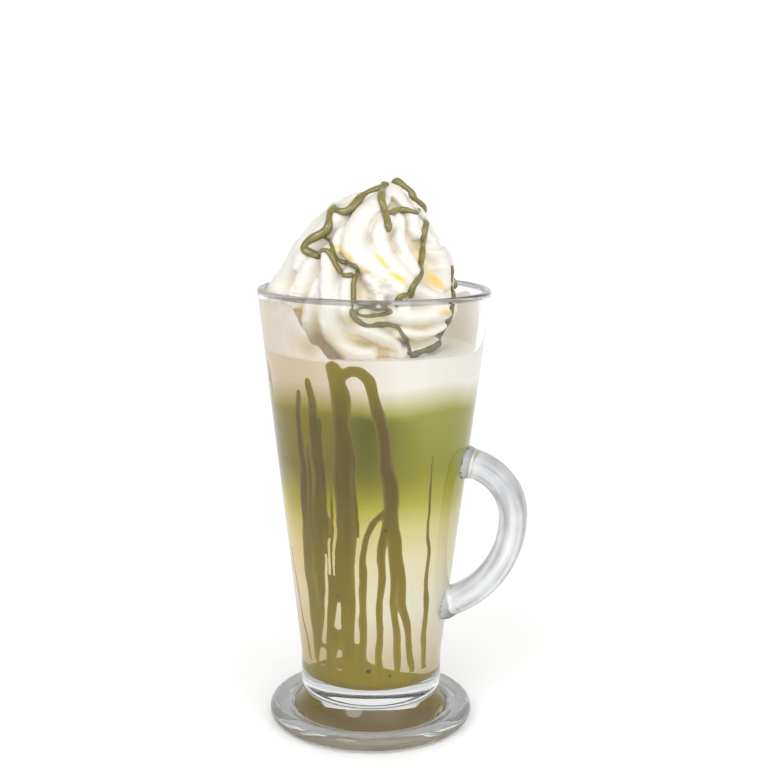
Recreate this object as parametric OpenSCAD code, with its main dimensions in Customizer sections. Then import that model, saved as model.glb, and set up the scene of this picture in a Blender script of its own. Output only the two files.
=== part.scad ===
// Matcha latte in a tall footed glass mug: one glass with its handle, and the drink in it
// (sauce pool, milk, matcha, foam, piped whipped cream).
// Millimetres, +Z up, origin on the glass axis at table level, handle along +X.

/* [Glass] */
// height of the glass from the table to the top of the lip
glass_height = 154; // [130:0.5:175]
// outer diameter at the lip
rim_diameter = 80; // [66:0.5:94]
// wall thickness of the bowl
wall = 2.6; // [1.8:0.1:3.6]
// outer diameter of the bowl at its foot end
waist_diameter = 49.6; // [40:0.1:58]
// height of the drinking floor inside
floor_height = 15.8; // [13:0.1:22]
// how far above the floor the straight taper of the bowl begins
taper_rise = 8.2; // [7:0.1:16]
// radius of the curve between floor and wall inside
floor_curve = 6; // [3:0.5:10]

/* [Foot] */
// outer diameter of the foot ring
foot_diameter = 72; // [60:0.2:84]
// thickness of the rounded foot ring
ring_thick = 6.3; // [4.5:0.1:8]
// how far the hollow under the foot stays in from the outer edge
hollow_inset = 6; // [5:0.2:10]
// depth of the hollow under the foot
hollow_depth = 3; // [1.5:0.1:4]
// height of the groove between ring and bowl
groove_height = 4.9; // [4:0.1:6]
// height of the lower edge of the bowl
bowl_edge = 10.7; // [9:0.1:13]

/* [Handle] */
// how far the middle of the grip stands out from the bowl
handle_reach = 18.7; // [15:0.1:24]
// height of the outermost point of the grip
handle_mid = 76.4; // [68:0.1:86]
// bend radius of the upper half of the grip
handle_upper = 18.3; // [15:0.1:22]
// bend radius of the lower half of the grip
handle_lower = 34.5; // [28:0.1:42]
// thickness of the grip
grip_thick = 9.6; // [7:0.2:12]
// width of the grip
grip_width = 12.6; // [9:0.2:16]

/* [Drink] */
// how far the sauce pool stands above the rounded floor
sauce_rise = 4.1; // [2:0.1:8]
// how far the top of the foam lies below the lip
foam_drop = 19.6; // [14:0.1:26]
// depth of the foam
foam_depth = 18.7; // [10:0.1:26]
// depth of the matcha under the foam
matcha_depth = 29; // [18:0.5:44]
// play between the drink and the glass
film = 0.02; // [0.01:0.01:0.1]

/* [Whipped cream] */
// height of the cream above the foam
cream_height = 55.4; // [40:0.2:66]
// largest radius of the cream
cream_radius = 33; // [24:0.5:34]
// how far the base of the cream sits off the glass axis, away from the handle
cream_shift = 4.6; // [0:0.2:6]
// how far the tip leans toward the handle
cream_lean = 10.5; // [0:0.5:14]
// number of star ridges around the cream
ridges = 9; // [6:1:12]
// depth of the star ridges
ridge_depth = 3.6; // [1:0.2:5]
// turn of the ridges over the height of the cream, in degrees
ridge_turn = 95; // [30:5:150]
// height of one turn of the piped rope
rope_pitch = 16; // [12:0.5:22]
// depth of the crease between turns of the rope
rope_depth = 2.4; // [0.5:0.1:4]

/* [Hidden] */
$fn = 96;

rim_r = rim_diameter / 2;
waist_r = waist_diameter / 2;
foot_r = foot_diameter / 2;
hollow_r = foot_r - hollow_inset;
ring_r = ring_thick / 2;
ring_c = foot_r - ring_r;
lip_r = wall / 2;
lip_c = rim_r - lip_r;
flare_start = glass_height - 9;
taper_start = floor_height + taper_rise;
flare_r = rim_r - 0.9;
around = 72;
rings = 30;

function mix(a, b, t) = a + (b - a) * t;
function step3(t) = let (s = max(0, min(1, t))) s * s * (3 - 2 * s);
function arc(cx, cz, r, a0, a1, n) =
    [for (i = [0:n]) let (a = mix(a0, a1, i / n)) [cx + r * cos(a), cz + r * sin(a)]];
function bez(p, q, s, t, n) =
    [for (i = [1:n]) let (u = i / n, v = 1 - u)
        v * v * v * p + 3 * v * v * u * q + 3 * v * u * u * s + u * u * u * t];

// Outer radius of the bowl at height z, and the inner one
function bowl_r(z) = z < taper_start ? waist_r
    : z < flare_start ? mix(waist_r, flare_r, (z - taper_start) / (flare_start - taper_start))
    : mix(flare_r, rim_r, step3((z - flare_start) / (glass_height - lip_r - flare_start)));
function inner_r(z) = bowl_r(z) - wall;

floor_end = floor_height + floor_curve * 1.1;
floor_side = inner_r(taper_start);
sauce_level = floor_end + sauce_rise;
foam_level = glass_height - foam_drop;
matcha_level = foam_level - foam_depth;
milk_level = matcha_level - matcha_depth;
grip_x = bowl_r(handle_mid) + handle_reach;
flare_z = [for (i = [0:6]) mix(flare_start, glass_height - lip_r, i / 6)];

// Underside and outside of the glass, from the axis below to the axis above
hollow = [for (i = [0:12]) let (a = i * 7.5) [hollow_r * sin(a), hollow_depth * cos(a)]];
ring = arc(ring_c, ring_r, ring_r, -90, 85, 16);
ring_end = ring[len(ring) - 1];
edge_r = waist_r - 1.3;
groove = [mix(edge_r, ring_c, 0.588), groove_height];
dip = ring_c - groove[0];
cove = bowl_edge - groove_height;
outside = concat(
    hollow, ring,
    bez(ring_end, ring_end + [-0.36 * dip, 0.1], groove + [0.31 * dip, 0.4], groove, 6),
    bez(groove, groove + [-0.33 * (groove[0] - edge_r), 0.2],
        [edge_r + 0.2 * (groove[0] - edge_r), bowl_edge - 0.36 * cove],
        [edge_r, bowl_edge], 8),
    bez([edge_r, bowl_edge], [edge_r + 0.8, bowl_edge + 0.3],
        [waist_r, bowl_edge + 1.5], [waist_r, bowl_edge + 3.3], 6),
    [[waist_r, taper_start]],
    [for (z = flare_z) [bowl_r(z), z]],
    arc(lip_c, glass_height - lip_r, lip_r, 12, 90, 7),
    [[0, glass_height]]);

// Inside of the glass up to height z, from the axis at the floor
function inside(z, g) = concat(
    [[0, floor_height + g]],
    bez([floor_side - floor_curve * 1.9, floor_height + g],
        [floor_side - floor_curve * 0.7, floor_height + g],
        [floor_side - g, floor_height + floor_curve * 0.3],
        [floor_side - g, floor_end], 10),
    z > taper_start ? [[floor_side - g, taper_start]] : [],
    [[inner_r(z) - g, z]], [[0, z]]);
cavity = concat(
    [[0, floor_height]],
    bez([floor_side - floor_curve * 1.9, floor_height],
        [floor_side - floor_curve * 0.7, floor_height],
        [floor_side, floor_height + floor_curve * 0.3],
        [floor_side, floor_end], 10),
    [[floor_side, taper_start]],
    [for (z = flare_z) [inner_r(z), z]],
    arc(lip_c, glass_height - lip_r, lip_r, 168, 90, 7),
    [[lip_c, glass_height + 1], [0, glass_height + 1]]);

// Cross-section of the grip, a soft rounded block
function grip(r, more) = [for (i = [0:27]) let (a = (i + 0.5) * 360 / 28, c = cos(a), s = sin(a))
    [r + (grip_thick / 2 + more) * sign(c) * pow(abs(c), 0.75),
     (grip_width / 2 + more) * sign(s) * pow(abs(s), 0.75)]];

// One bend of the grip; a piece laps over its neighbour by a hair
module grip_bend(r, from, sweep, more) {
    translate([grip_x - r, 0, handle_mid]) rotate([90, 0, 0]) rotate([0, 0, from])
        rotate_extrude(angle = sweep) polygon(grip(r, more));
}

// Straight end of the grip, from the top of its upper bend into the bowl
module grip_root() {
    translate([grip_x - handle_upper + 0.4, 0, handle_mid + handle_upper]) rotate([0, -90, 0])
        linear_extrude(height = 12) polygon(grip(0, 0.06));
}

module glass() {
    color([0.86, 0.93, 0.93, 0.45])
    difference() {
        union() {
            rotate([0, 0, 205]) rotate_extrude() polygon(outside);
            grip_bend(handle_upper, -1, 91, 0.03);
            grip_bend(handle_lower, -88, 88, 0);
            grip_root();
        }
        rotate([0, 0, 205]) rotate_extrude() polygon(cavity);
    }
}

module sauce_pool() {
    color([0.45, 0.42, 0.18]) rotate_extrude() polygon(inside(sauce_level, film));
}

// One level of the drink, from height z0 to z1, against the glass wall
module level(z0, z1) {
    rotate_extrude()
        polygon([[0, z0], [inner_r(z0) - film, z0], [inner_r(z1) - film, z1], [0, z1]]);
}

module milk_layer() {
    color([0.91, 0.86, 0.62]) level(sauce_level, milk_level);
}

module matcha_layer() {
    color([0.55, 0.60, 0.30]) level(milk_level, matcha_level);
}

module foam_layer() {
    color([0.94, 0.92, 0.88]) level(matcha_level, foam_level);
}

// Smooth outline radius of the cream at share u of its height
function cream_out(u) = cream_radius * (0.87 + 0.13 * step3(u / 0.22))
    * pow(max(0, 1 - u * u), 0.62);
// Star ridge at angle a around the nozzle, and rope crease at angle a and share u
function ridge(a) = 1 - abs(sin(a * ridges / 2));
function rope(a, u) = 1 - abs(cos((a + 360 * u * cream_height / rope_pitch) / 2));
function cream_r(a, u) = let (fade = step3((1 - u) / 0.25))
    max(0.4, cream_out(u) - fade * (ridge_depth * pow(ridge(a), 1.6)
        + rope_depth * pow(rope(a - ridge_turn * u, u), 2)));
// Keep a point of the cream inside the glass
function held(p, z) = let (lim = inner_r(min(z, flare_start)) - 0.15, d = norm(p))
    d > lim ? p * lim / d : p;
function cream_p(a, u) = let (
    z = foam_level + cream_height * u,
    x = -cream_shift + cream_lean * pow(u, 1.5),
    r = cream_r(a, u),
    b = a - ridge_turn * u,
    p = held([x + r * cos(b), r * sin(b)], z)) [p[0], p[1], z];

module whipped_cream() {
    skin = [for (i = [0:rings - 1]) let (u = 1 - pow(1 - i / rings, 1.25))
        for (k = [0:around - 1]) cream_p(k * 360 / around, u)];
    foot = len(skin);
    tip = foot + 1;
    color([0.97, 0.95, 0.90]) polyhedron(
        points = concat(skin, [[-cream_shift, 0, foam_level]],
            [[cream_lean - cream_shift, 0, foam_level + cream_height]]),
        faces = concat(
            [for (i = [0:rings - 2]) for (k = [0:around - 1]) let (n = (k + 1) % around)
                for (t = [0, 1]) t == 0
                    ? [i * around + k, (i + 1) * around + k, (i + 1) * around + n]
                    : [i * around + k, (i + 1) * around + n, i * around + n]],
            [for (k = [0:around - 1]) [foot, k, (k + 1) % around]],
            [for (k = [0:around - 1])
                [tip, (rings - 1) * around + (k + 1) % around, (rings - 1) * around + k]]));
}

glass();
sauce_pool();
milk_layer();
matcha_layer();
foam_layer();
whipped_cream();
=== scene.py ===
"""Matcha latte in a tall footed glass mug, topped with piped cream and matcha sauce.

Lengths below are in millimetres in the frame of the CAD model and become metres when a mesh is made.
Angles on the glass are degrees round its axis, 0 at the side that faces the camera and growing
to the camera's right. Places on the cream are (sideways, height), as seen from that side.
"""

import math
import random

import bmesh
import bpy
import numpy as np
from mathutils import Matrix, Vector, noise
from mathutils.bvhtree import BVHTree


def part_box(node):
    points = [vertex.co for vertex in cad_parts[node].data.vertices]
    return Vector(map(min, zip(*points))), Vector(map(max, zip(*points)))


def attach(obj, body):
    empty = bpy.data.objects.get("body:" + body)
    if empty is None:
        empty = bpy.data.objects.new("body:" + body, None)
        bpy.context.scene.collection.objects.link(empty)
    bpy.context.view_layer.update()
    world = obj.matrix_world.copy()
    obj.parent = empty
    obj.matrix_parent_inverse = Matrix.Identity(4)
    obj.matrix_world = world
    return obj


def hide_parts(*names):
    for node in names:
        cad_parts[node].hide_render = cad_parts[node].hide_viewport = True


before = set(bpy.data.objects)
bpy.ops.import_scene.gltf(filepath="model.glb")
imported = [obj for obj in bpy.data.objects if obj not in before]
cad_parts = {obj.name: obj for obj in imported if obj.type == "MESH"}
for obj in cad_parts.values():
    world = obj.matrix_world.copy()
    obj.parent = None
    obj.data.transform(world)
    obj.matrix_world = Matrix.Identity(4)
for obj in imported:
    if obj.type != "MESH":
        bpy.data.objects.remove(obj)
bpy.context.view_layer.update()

MM = 0.001
ONE_PLACE = 1e-7        # vertices nearer than this, in metres, become one
RNG = random.Random(7)


def node_z(node, end):
    """Lowest (0) or highest (1) level of a CAD node in millimetres."""
    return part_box(node)[end][2] / MM


# ---------------------------------------------------------------- sizes
HEIGHT = node_z("glass", 1)
RIM_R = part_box("glass")[1][1] / MM
FLOOR = node_z("sauce_pool", 0)
SAUCE_TOP = node_z("sauce_pool", 1)
MILK_TOP = node_z("milk_layer", 1)
MATCHA_TOP = node_z("matcha_layer", 1)
FOAM_TOP = node_z("foam_layer", 1)
CREAM_TOP = node_z("whipped_cream", 1)

WALL = 2.6
WAIST_R = 24.8
TAPER_START = FLOOR + 8.2
FLOOR_CURVE = 6.0
FLOOR_END = FLOOR + 1.1 * FLOOR_CURVE
LIP_R = WALL / 2
LIP_C = RIM_R - LIP_R
FLARE_START = HEIGHT - 9
FLARE_R = RIM_R - 0.9
FOOT_R, RING_THICK, HOLLOW_INSET, HOLLOW_DEPTH = 36.0, 6.3, 6.0, 3.0
GROOVE_Z, BOWL_EDGE = 4.9, 10.7
HANDLE_REACH, HANDLE_MID, HANDLE_UPPER, HANDLE_LOWER = 18.7, 76.4, 18.3, 34.5
GRIP_THICK, GRIP_WIDTH = 9.6, 12.6
GRIP_INTO_WALL = 0.9    # the ends of the grip stop this far outside the inner face of the wall

VIEW_TURN = 13.0        # the camera stands this far round from the front, in degrees
TURN = math.radians(VIEW_TURN)
SIDE = Vector((math.cos(TURN), math.sin(TURN), 0))     # to the camera's right
AWAY = Vector((-math.sin(TURN), math.cos(TURN), 0))    # away from the camera

DRINK_REACH = 0.10      # how far the drink reaches into the wall
SAUCE_REACH = 0.16      # the same for the sauce, so that it lies over the drink


def step3(t):
    t = np.clip(t, 0.0, 1.0)
    return t * t * (3 - 2 * t)


def mix(a, b, t):
    return a + (b - a) * t


def bowl_r(z):
    z = np.asarray(z, float)
    cone = mix(WAIST_R, FLARE_R, (z - TAPER_START) / (FLARE_START - TAPER_START))
    flare = mix(FLARE_R, RIM_R, step3((z - FLARE_START) / (HEIGHT - LIP_R - FLARE_START)))
    return np.where(z < TAPER_START, WAIST_R, np.where(z < FLARE_START, cone, flare))


def inner_r(z):
    return bowl_r(z) - WALL


def arc(cx, cz, r, a0, a1, n):
    return [(cx + r * math.cos(math.radians(mix(a0, a1, i / n))),
             cz + r * math.sin(math.radians(mix(a0, a1, i / n)))) for i in range(n + 1)]


def bezier(p, q, s, t, n):
    out = []
    for i in range(1, n + 1):
        u = i / n
        v = 1 - u
        out.append(tuple(v ** 3 * p[d] + 3 * v * v * u * q[d] + 3 * v * u * u * s[d] + u ** 3 * t[d]
                         for d in range(2)))
    return out


def floor_curve(reach, n):
    """Inside of the glass from the axis to where the wall begins, reach into the glass."""
    side = float(inner_r(TAPER_START)) + reach
    low = FLOOR - reach
    return [(0.0, low)] + bezier((side - 1.9 * FLOOR_CURVE, low), (side - 0.7 * FLOOR_CURVE, low),
                                 (side, low + 0.3 * FLOOR_CURVE), (side, FLOOR_END), n)


def smooth_line(points, per=8):
    """Catmull-Rom line through the points."""
    pts = np.array([points[0]] + list(points) + [points[-1]], float)
    out = []
    for i in range(1, len(pts) - 2):
        a, b, c, d = pts[i - 1:i + 3]
        for k in range(per):
            t = k / per
            out.append(0.5 * (2 * b + (c - a) * t + (2 * a - 5 * b + 4 * c - d) * t * t
                              + (3 * b - a - 3 * c + d) * t ** 3))
    out.append(pts[-2])
    return np.array(out)


# ---------------------------------------------------------------- mesh helpers
def add_object(name, mesh, material, replaces=()):
    for face in mesh.polygons:
        face.use_smooth = True
    mesh.materials.clear()
    mesh.materials.append(material)
    obj = bpy.data.objects.new(name, mesh)
    bpy.context.scene.collection.objects.link(obj)
    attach(obj, "root")
    if replaces:
        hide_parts(*replaces)
    return obj


def plain_mesh(name, verts, faces):
    mesh = bpy.data.meshes.new(name)
    mesh.from_pydata((np.asarray(verts, float) * MM).tolist(), [], faces)
    return mesh


def make_mesh(name, verts, faces, merge=True):
    """Mesh with its faces turned outward; merge joins vertices that lie in one place."""
    mesh = plain_mesh(name, verts, faces)
    bm = bmesh.new()
    bm.from_mesh(mesh)
    if merge:
        bmesh.ops.remove_doubles(bm, verts=bm.verts, dist=ONE_PLACE)
    bmesh.ops.recalc_face_normals(bm, faces=bm.faces)
    bm.to_mesh(mesh)
    bm.free()
    return mesh


def add_fields(mesh, **fields):
    """Give each vertex its value of each field, for the materials to read."""
    for name, values in fields.items():
        data = mesh.attributes.new(name, "FLOAT", "POINT").data
        data.foreach_set("value", np.array(values, np.float32))


def ring_faces(rows, around, start=0):
    """Faces between rings of points that follow one another, each with around points."""
    return [(start + i * around + k, start + i * around + (k + 1) % around,
             start + (i + 1) * around + (k + 1) % around, start + (i + 1) * around + k)
            for i in range(rows - 1) for k in range(around)]


def lathe(name, profile, n=256, sharp=40):
    """Closed mesh of a (radius, height) profile turned round the axis, creased at its corners."""
    profile = np.array(profile, float)
    k = len(profile)
    turn = np.arange(n) * 2 * math.pi / n
    verts = np.stack([profile[None, :, 0] * np.cos(turn)[:, None],
                      profile[None, :, 0] * np.sin(turn)[:, None],
                      np.broadcast_to(profile[None, :, 1], (n, k))], -1).reshape(-1, 3)
    faces = []
    for i in range(n):
        j = (i + 1) % n
        for t in range(k - 1):
            quad = [i * k + t, j * k + t, j * k + t + 1, i * k + t + 1]
            if profile[t][0] == 0:
                quad.pop(1)
            elif profile[t + 1][0] == 0:
                quad.pop(2)
            faces.append(quad)
    mesh = make_mesh(name, verts, faces)
    mesh.set_sharp_from_angle(angle=math.radians(sharp))
    return mesh


def evaluated(name, obj, *modifiers):
    """New mesh of obj with modifiers (kind, settings) on it; obj itself is removed."""
    bpy.context.scene.collection.objects.link(obj)
    for kind, settings in modifiers:
        mod = obj.modifiers.new(kind.lower(), kind)
        for key, value in settings.items():
            setattr(mod, key, value)
    graph = bpy.context.evaluated_depsgraph_get()
    mesh = bpy.data.meshes.new_from_object(obj.evaluated_get(graph))
    mesh.name = name
    bpy.data.objects.remove(obj)
    return mesh


# ---------------------------------------------------------------- material helpers
def srgb(r, g, b):
    """Display colour, 0 to 255, as the linear colour that a shader takes."""
    def one(c):
        c /= 255
        return c / 12.92 if c <= 0.04045 else ((c + 0.055) / 1.055) ** 2.4
    return (one(r), one(g), one(b), 1.0)


# Light that comes back through the glass from a white drink, light that the wall keeps, and sheen
FRONT_LIGHT, TRAPPED, VEIL = 0.62, 0.31, 0.055


def behind_glass(r, g, b):
    """Colour that a surface wetting the glass needs so that it shows as r, g, b through it."""
    seen = [max(c - VEIL, 0.003) for c in srgb(r, g, b)[:3]]
    return tuple(min(c / (FRONT_LIGHT + TRAPPED * c), 0.98) for c in seen) + (1.0,)


class Paint:
    """A node material with short calls for the nodes that it is made of."""

    def __init__(self, name, **constants):
        self.mat = bpy.data.materials.new(name)
        self.mat.use_nodes = True
        self.tree = self.mat.node_tree
        self.shader = self.tree.nodes["Principled BSDF"]
        self.coords = self.tree.nodes.new("ShaderNodeTexCoord").outputs["Object"]
        for key, value in constants.items():
            self.shader.inputs[key.replace("_", " ")].default_value = value

    def node(self, kind, **settings):
        node = self.tree.nodes.new(kind)
        for key, value in settings.items():
            setattr(node, key, value)
        return node

    def feed(self, socket, value):
        if isinstance(value, bpy.types.NodeSocket):
            self.tree.links.new(value, socket)
        else:
            socket.default_value = value

    def to(self, key, value):
        self.feed(self.shader.inputs[key], value)

    def height(self):
        xyz = self.node("ShaderNodeSeparateXYZ")
        self.feed(xyz.inputs[0], self.coords)
        return xyz.outputs["Z"]

    def between(self, lo, hi, to_lo=0.0, to_hi=1.0):
        """Runs from to_lo at level lo to to_hi at level hi, both in millimetres."""
        return self.remap(self.height(), lo * MM, hi * MM, to_lo, to_hi)

    def sideways(self):
        dot = self.node("ShaderNodeVectorMath", operation="DOT_PRODUCT")
        self.feed(dot.inputs[0], self.coords)
        dot.inputs[1].default_value = SIDE
        return dot.outputs["Value"]

    def noise(self, scale, detail=3.0, roughness=0.5, stretch=(1, 1, 1)):
        place = self.coords
        if stretch != (1, 1, 1):
            mapping = self.node("ShaderNodeMapping")
            mapping.inputs["Scale"].default_value = stretch
            self.feed(mapping.inputs["Vector"], place)
            place = mapping.outputs[0]
        tex = self.node("ShaderNodeTexNoise")
        self.feed(tex.inputs["Vector"], place)
        tex.inputs["Scale"].default_value = scale
        tex.inputs["Detail"].default_value = detail
        tex.inputs["Roughness"].default_value = roughness
        return tex.outputs[0]

    def cells(self, scale):
        tex = self.node("ShaderNodeTexVoronoi", feature="F1")
        self.feed(tex.inputs["Vector"], self.coords)
        tex.inputs["Scale"].default_value = scale
        return tex.outputs[0]

    def remap(self, value, lo, hi, to_lo=0.0, to_hi=1.0):
        node = self.node("ShaderNodeMapRange")
        for i, v in enumerate((value, lo, hi, to_lo, to_hi)):
            self.feed(node.inputs[i], v)
        return node.outputs[0]

    def math(self, operation, a, b=0.0):
        node = self.node("ShaderNodeMath", operation=operation)
        self.feed(node.inputs[0], a)
        self.feed(node.inputs[1], b)
        return node.outputs[0]

    def grazing(self, begins):
        """0 where glass is seen square on, 1 where it is seen edge on."""
        facing = self.node("ShaderNodeLayerWeight").outputs["Facing"]
        return self.remap(facing, begins, 1.0)

    def rough(self, scale, lo, hi, detail=2.0):
        """Roughness that wanders between lo and hi."""
        self.to("Roughness", self.remap(self.noise(scale, detail), 0.3, 0.7, lo, hi))

    def attribute(self, name):
        return self.node("ShaderNodeAttribute", attribute_name=name).outputs["Fac"]

    def blend(self, factor, a, b, kind="MIX"):
        node = self.node("ShaderNodeMix", data_type="RGBA", blend_type=kind)
        self.feed(node.inputs[0], factor)
        self.feed(node.inputs[6], a)
        self.feed(node.inputs[7], b)
        return node.outputs[2]

    def ramp(self, factor, stops):
        node = self.node("ShaderNodeValToRGB")
        marks = node.color_ramp.elements
        while len(marks) < len(stops):
            marks.new(0.5)
        for mark, (place, _) in zip(marks, stops):
            mark.position = place
        for mark, (_, colour) in zip(marks, stops):
            mark.color = colour
        self.feed(node.inputs[0], factor)
        return node.outputs[0]

    def bump(self, height, distance, strength=1.0):
        node = self.node("ShaderNodeBump")
        node.inputs["Strength"].default_value = strength
        node.inputs["Distance"].default_value = distance
        self.feed(node.inputs["Height"], height)
        self.to("Normal", node.outputs[0])


# ---------------------------------------------------------------- materials
CLEAR, GLASS_IOR = (0.985, 0.99, 0.99, 1), 1.5


def glass_paint():
    paint = Paint("pressed_glass", Transmission_Weight=1.0, IOR=GLASS_IOR, Roughness=0.0)
    # where the glass is seen edge on its colour turns dark grey: painted shade for the dark
    # surroundings seen in its edges
    paint.to("Base Color", paint.blend(paint.grazing(0.76), CLEAR, (0.30, 0.31, 0.32, 1)))
    paint.bump(paint.noise(60, 2.0), 0.00012, 0.6)
    return paint.mat


def thick_glass_paint():
    """Glass of the grip, foot ring and lip; attributes say where it is painted greyer, painted shade
    for the dark surroundings seen in thick glass, and where it is cloudier.
    """
    paint = Paint("thick_glass", IOR=GLASS_IOR, Roughness=0.0)
    paint.to("Transmission Weight", paint.remap(paint.attribute("cloudy"), 0.0, 1.0, 1.0, 0.5))
    grey = paint.blend(paint.attribute("grey"), CLEAR, (0.30, 0.31, 0.33, 1))
    waves = paint.remap(paint.noise(110, 2.0), 0.35, 0.65, 0.0, 0.3)
    clear = paint.blend(waves, grey, CLEAR)
    # seen edge on, the thick glass turns darker still: painted shade at its edges
    paint.to("Base Color", paint.blend(paint.grazing(0.45), clear, (0.16, 0.17, 0.18, 1)))
    paint.bump(paint.noise(70, 2.0), 0.0006, 0.8)
    return paint.mat


# Display colour of the drink by level, on its bright right side
DRINK_COLOURS = (
    (FLOOR, (185, 170, 130)),               # milk over the sauce, in the shade of the foot
    (SAUCE_TOP + 5, (215, 200, 170)),
    (SAUCE_TOP + 20, (235, 230, 205)),      # plain milk
    (MILK_TOP - 22, (235, 225, 180)),
    (MILK_TOP - 10, (215, 205, 135)),       # milk turning yellow green
    (MILK_TOP - 2, (180, 175, 85)),
    (MILK_TOP + 9, (148, 148, 72)),         # matcha
    (MATCHA_TOP, (155, 155, 85)),
    (MATCHA_TOP + 4, (200, 195, 150)),
    (MATCHA_TOP + 9, (242, 238, 230)),      # foam
)
# The left side is duller and warmer, painted shade: what each channel keeps, below and above the top
# of the milk
LEFT_SHADE_LOW, LEFT_SHADE_HIGH = (1.0, 0.94, 0.82), (0.90, 0.82, 0.72)
DARK_MATCHA = (105, 105, 35)
LEVEL_LO, LEVEL_HI = 14, 141            # the colours of the drink run between these levels
SAUCE_HI = 136                          # and those of the sauce from LEVEL_LO to here
PATCH_SIDE = -0.002                     # the darker patch of matcha, a little left of the middle


def drink_colour(paint):
    """Colour of the drink by level, with painted shade on its left side, and slow clouds in it."""
    wave = paint.remap(paint.noise(45, 2.0, stretch=(1, 1, 0.5)), 0.3, 0.7, -0.0016, 0.0016)
    level = paint.math("ADD", paint.height(), wave)
    share = paint.remap(level, LEVEL_LO * MM, LEVEL_HI * MM)
    stops = [[], []]
    for z, right in DRINK_COLOURS:
        place = (z - LEVEL_LO) / (LEVEL_HI - LEVEL_LO)
        keeps = LEFT_SHADE_LOW if z < MILK_TOP else LEFT_SHADE_HIGH
        left = [c * keep for c, keep in zip(right, keeps)]
        for side, colour in enumerate((left, right)):
            stops[side].append((place, behind_glass(*colour)))
    both = [paint.ramp(share, s) for s in stops]
    # painted shade: towards the left the darker copy of the colours takes over
    side = paint.remap(paint.sideways(), -0.020, 0.008)
    colour = paint.blend(side, both[0], both[1])
    spread = paint.math("ABSOLUTE", paint.math("ADD", paint.sideways(), -PATCH_SIDE))
    patch = paint.remap(spread, 0.001, 0.0190, 1.0, 0.0)
    begins, full = (MILK_TOP - 2.7) * MM, (MILK_TOP + 14.3) * MM
    fades, ends = (MATCHA_TOP - 2.2) * MM, (MATCHA_TOP + 0.3) * MM
    band = paint.math("MULTIPLY", paint.remap(level, begins, full),
                      paint.remap(level, fades, ends, 1.0, 0.0))
    patch = paint.math("MULTIPLY", patch, band)
    patch = paint.math("MULTIPLY", patch, paint.remap(paint.noise(60, 2.0), 0.25, 0.65, 0.7, 1.0))
    return paint.blend(patch, colour, behind_glass(*DARK_MATCHA))


GRAIN, WHITE = 0.06, (1, 1, 1, 1)


def drink_paint(name):
    paint = Paint(name, Roughness=0.35, Specular_IOR_Level=0.0)
    colour = drink_colour(paint)
    speck = paint.ramp(paint.noise(1500, 2.0), [(0.3, (1 - GRAIN,) * 3 + (1,)), (0.7, WHITE)])
    paint.to("Base Color", paint.blend(1.0, colour, speck, "MULTIPLY"))
    paint.rough(300, 0.3, 0.42)
    paint.bump(paint.noise(900, 2.0), 0.00004, 0.4)
    return paint.mat


def foam_paint(name, smeared=False):
    paint = Paint(name, Roughness=0.6, Specular_IOR_Level=0.0)
    colour = drink_colour(paint)
    if smeared:
        thin = paint.math("MULTIPLY", paint.attribute("thin"),
                          paint.remap(paint.noise(120, 4.0), 0.3, 0.65, 0.5, 1.0))
        colour = paint.blend(thin, colour, behind_glass(241, 235, 222))
        colour = paint.blend(paint.attribute("smudge"), colour, behind_glass(184, 168, 104))
    bubbles = paint.ramp(paint.cells(1100), [(0.0, (0.9, 0.88, 0.84, 1)), (0.35, WHITE)])
    paint.to("Base Color", paint.blend(0.5, colour, bubbles, "MULTIPLY"))
    paint.rough(500, 0.5, 0.7)
    paint.bump(paint.cells(1100), 0.00012, 0.5)
    return paint.mat


def sauce_paint():
    """Matcha sauce on the wall and at the bottom, darker where it lies over the matcha."""
    paint = Paint("matcha_sauce", Roughness=0.3, Specular_IOR_Level=0.0)
    share = paint.between(LEVEL_LO, SAUCE_HI)
    base = paint.ramp(share, [
        (0.00, behind_glass(175, 150, 115)),    # underside, seen through the foot
        (0.04, behind_glass(150, 135, 75)),
        (0.45, behind_glass(130, 115, 60)),
        (0.65, behind_glass(110, 100, 45)),     # over the matcha
        (0.82, behind_glass(110, 100, 45)),
        (1.00, behind_glass(150, 135, 75))])
    streaks = paint.remap(paint.noise(420, 3.0, stretch=(1, 1, 0.12)), 0.3, 0.7)
    colour = paint.blend(streaks, base, paint.blend(1.0, base, (0.8, 0.79, 0.7, 1), "MULTIPLY"))
    thin = paint.remap(paint.attribute("thick"), 0.0, 0.5, 1.0, 0.0)
    thin = paint.math("MULTIPLY", thin, 0.35)
    paint.to("Base Color", paint.blend(thin, colour, behind_glass(176, 164, 104)))
    paint.rough(300, 0.25, 0.4)
    paint.bump(paint.noise(350, 3.0), 0.00008, 0.5)
    return paint.mat


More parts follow.
